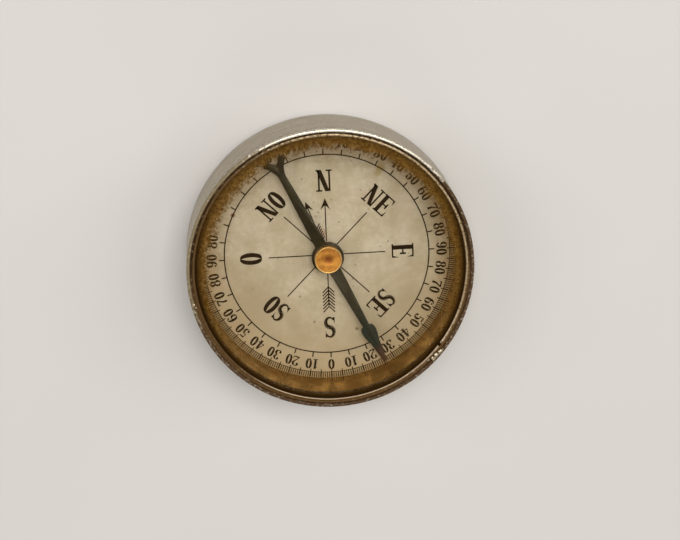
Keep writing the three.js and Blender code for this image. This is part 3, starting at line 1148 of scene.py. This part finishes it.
def print_scale(finish):
    """Both circles, a mark at every degree and longer marks at the fives and tens."""
    faces = circle(CIRCLE, LINE) + circle(SCALE_CIRCLE, SCALE_LINE)
    for degree in range(360):
        if degree % 10 == 0:
            faces.append(radial(degree, CIRCLE, CIRCLE + TICK, LINE))
        if degree % 5 == 0:
            faces.append(radial(degree, SCALE_CIRCLE - INNER_TICK, SCALE_CIRCLE, 0.13 * MM))
        width = 0.2 * MM if degree % 5 == 0 else 0.125 * MM
        faces.append(radial(degree, SCALE_CIRCLE, SCALE_CIRCLE + TICK, width))
    print_on_card("dial_scale", faces, finish)


def arrow_head(heading, tip, length, width):
    """A barbed arrow head that points outwards."""
    turn = Matrix.Rotation(-math.radians(heading), 2)
    faces = []
    for side in (-1, 1):
        corners = (
            (0, tip),
            (side * width / 2, tip - length),
            (side * width / 6, tip - length * 0.72),
            (0, tip - length * 0.6),
        )
        faces.append([turn @ Vector(corner) for corner in corners])
    return faces


def feathers(heading, start, stop, count, width):
    """Chevrons along a shaft, open away from the centre."""
    turn = Matrix.Rotation(-math.radians(heading), 2)
    faces = []
    for index in range(count):
        root = start + (stop - start) * index / count
        for side in (-1, 1):
            path = [(0, root), (side * width / 2, root + width * 0.5)]
            for face in ribbon(path, FEATHER_LINE):
                faces.append([turn @ point for point in face])
    return faces


def print_rose(finish):
    """Six plain rays, an arrow to north with its feathers to south, and one at the declination."""
    faces = []
    for heading in (45, 90, 135, 225, 270, 315):
        faces.append(radial(heading, ROSE_START, 8.35 * MM, ROSE_LINE))
    faces.append(radial(0, ROSE_START, 7.4 * MM, ROSE_LINE))
    faces += arrow_head(0, tip=8.3 * MM, length=1.7 * MM, width=1.4 * MM)
    faces.append(radial(180, ROSE_START, 7.6 * MM, ROSE_LINE))
    faces += feathers(180, 4.8 * MM, 8.2 * MM, count=7, width=1.7 * MM)
    faces.append(radial(DECLINATION, ROSE_START, 7.6 * MM, ROSE_LINE))
    faces += arrow_head(DECLINATION, tip=8.4 * MM, length=1.6 * MM, width=1.3 * MM)
    faces += feathers(DECLINATION, ROSE_START, 4.4 * MM, count=6, width=1.4 * MM)
    print_on_card("dial_rose", faces, finish)


# -------- needle


def make_blade(finish):
    """The needle's outline from the frame, with its edges broken."""
    cad = frame["nodes"]["needle_blade"]
    bpy.ops.object.select_all(action="DESELECT")
    blade = cad.copy()
    blade.data = cad.data.copy()
    blade.name = "needle"
    bpy.context.scene.collection.objects.link(blade)
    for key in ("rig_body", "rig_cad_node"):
        del blade[key]
    blade.parent = None
    bpy.context.view_layer.objects.active = blade
    blade.select_set(True)
    bpy.ops.object.mode_set(mode="EDIT")
    bpy.ops.mesh.select_all(action="SELECT")
    bpy.ops.mesh.remove_doubles(threshold=0.002 * MM)
    bpy.ops.mesh.dissolve_limited(angle_limit=math.radians(1))
    bpy.ops.object.mode_set(mode="OBJECT")
    bevel = blade.modifiers.new("edges", "BEVEL")
    bevel.width = 0.07 * MM
    bevel.segments = 3
    bevel.limit_method = "ANGLE"
    bevel.angle_limit = math.radians(50)
    bpy.ops.object.modifier_apply(modifier="edges")
    bpy.ops.object.shade_smooth_by_angle(angle=math.radians(40))
    ready(blade, "needle", "needle_blade", finish=finish, slot="needle_steel")


def make_cap(finish):
    """The needle's turned cap: a dished top inside a thin rim, with a cone at its centre."""
    radius, top = CAP_HIGH.x, CAP_HIGH.z
    head = BLADE_TOP + 0.02 * MM
    ceiling = top - CAP_CEILING
    dish = top - CAP_DISH
    profile = [(0, ceiling), (CAP_BORE, ceiling), (CAP_BORE, CAP_LOW.z)]
    profile += [(CAP_SHANK, CAP_LOW.z), (CAP_SHANK, head)]
    profile += arc((radius - CAP_HEAD_EDGE, head + CAP_HEAD_EDGE), CAP_HEAD_EDGE, -90, 0, 3)
    profile += arc((radius - CAP_RIM, top - CAP_RIM), CAP_RIM, 0, 180, 8)
    profile += [(radius - 0.26 * MM, dish), (radius - 0.7 * MM, dish - 0.01 * MM)]
    profile += [(out * MM, dish - deep * MM) for out, deep in CAP_CONE]
    cap = turned("needle_bearing_cap", profile, SMALL_SIDES)
    ready(cap, "needle", "needle_cap", finish=finish, slot="cap_brass")


# -------- studio


def make_floor(finish):
    """The round tabletop that the compass lies on."""
    bpy.ops.object.select_all(action="DESELECT")
    bpy.ops.mesh.primitive_circle_add(vertices=128, radius=FLOOR_RADIUS, fill_type="NGON")
    floor = bpy.context.object
    floor.name = "floor"
    floor.data.materials.append(finish)


def soft_light(name, heading, elevation, distance, size, watts, colour):
    """A square light that faces the compass and stays out of the camera's sight."""
    data = bpy.data.lights.new(name, "AREA")
    data.shape = "SQUARE"
    data.size = size
    data.energy = watts
    data.color = colour
    light = bpy.data.objects.new(name, data)
    turn = math.radians(heading)
    rise = math.radians(elevation)
    place = Vector(
        (math.sin(turn) * math.cos(rise), math.cos(turn) * math.cos(rise), math.sin(rise))
    )
    light.location = place * distance
    light.rotation_euler = place.to_track_quat("Z", "Y").to_euler()
    light.visible_camera = False
    bpy.context.scene.collection.objects.link(light)


def make_studio():
    """A dim, warm world with a pale backdrop, and the soft lights."""
    world = bpy.data.worlds.new("studio")
    world.use_nodes = True
    background = world.node_tree.nodes["Background"]
    background.inputs["Color"].default_value = (1.0, 0.93, 0.82, 1)
    path = world.node_tree.nodes.new("ShaderNodeLightPath")
    strength = world.node_tree.nodes.new("ShaderNodeMapRange")
    strength.inputs["To Min"].default_value = SHADE
    strength.inputs["To Max"].default_value = BACKDROP
    world.node_tree.links.new(path.outputs["Is Camera Ray"], strength.inputs["Value"])
    world.node_tree.links.new(strength.outputs[0], background.inputs["Strength"])
    scene = bpy.context.scene
    scene.world = world
    scene.view_settings.view_transform = "Standard"
    for light in LIGHTS:
        soft_light(*light)


def make_camera():
    """A long lens above the dial, a little to its north."""
    data = bpy.data.cameras.new("camera")
    data.lens = 100.6
    data.sensor_width = 36
    data.clip_start = 0.01
    data.clip_end = 10
    camera = bpy.data.objects.new("camera", data)
    camera.location = Vector((-15.37, 71.30, 263.96)) * MM
    camera.rotation_euler = [math.radians(angle) for angle in (-15.557, -4.350, -2.142)]
    bpy.context.scene.collection.objects.link(camera)
    bpy.context.scene.camera = camera


# -------- assembly
make_studio()
make_camera()
make_floor(pale_floor())

make_case(worn_nickel())
make_retaining_ring(ring_brass())
make_groove_dirt(groove_dirt())
make_lip_solder(old_solder())
make_crystal(clear_glass())
make_edge_dirt(edge_dirt())
make_spacer(wall_brass())

ink = dial_ink("dial_ink")
print_letters(ink)
print_numerals(dial_ink("numeral_ink", faded=0.92))
print_scale(ink)
print_rose(ink)

nodes = frame["nodes"]
brass = plain_brass()
dress(nodes["dial_card"], aged_paper())
dress(nodes["dial_plate"], brass)
dress(nodes["packing_ring"], grey_board())
dress(nodes["pivot_post"], brass)
dress(nodes["pivot_nut"], brass)
dress(nodes["pivot_pin"], pin_steel())

orange_brass = cap_brass()
make_blade(needle_steel())
make_cap(orange_brass)
dress(nodes["cap_collar"], orange_brass)
dress(nodes["cap_jewel"], red_agate())
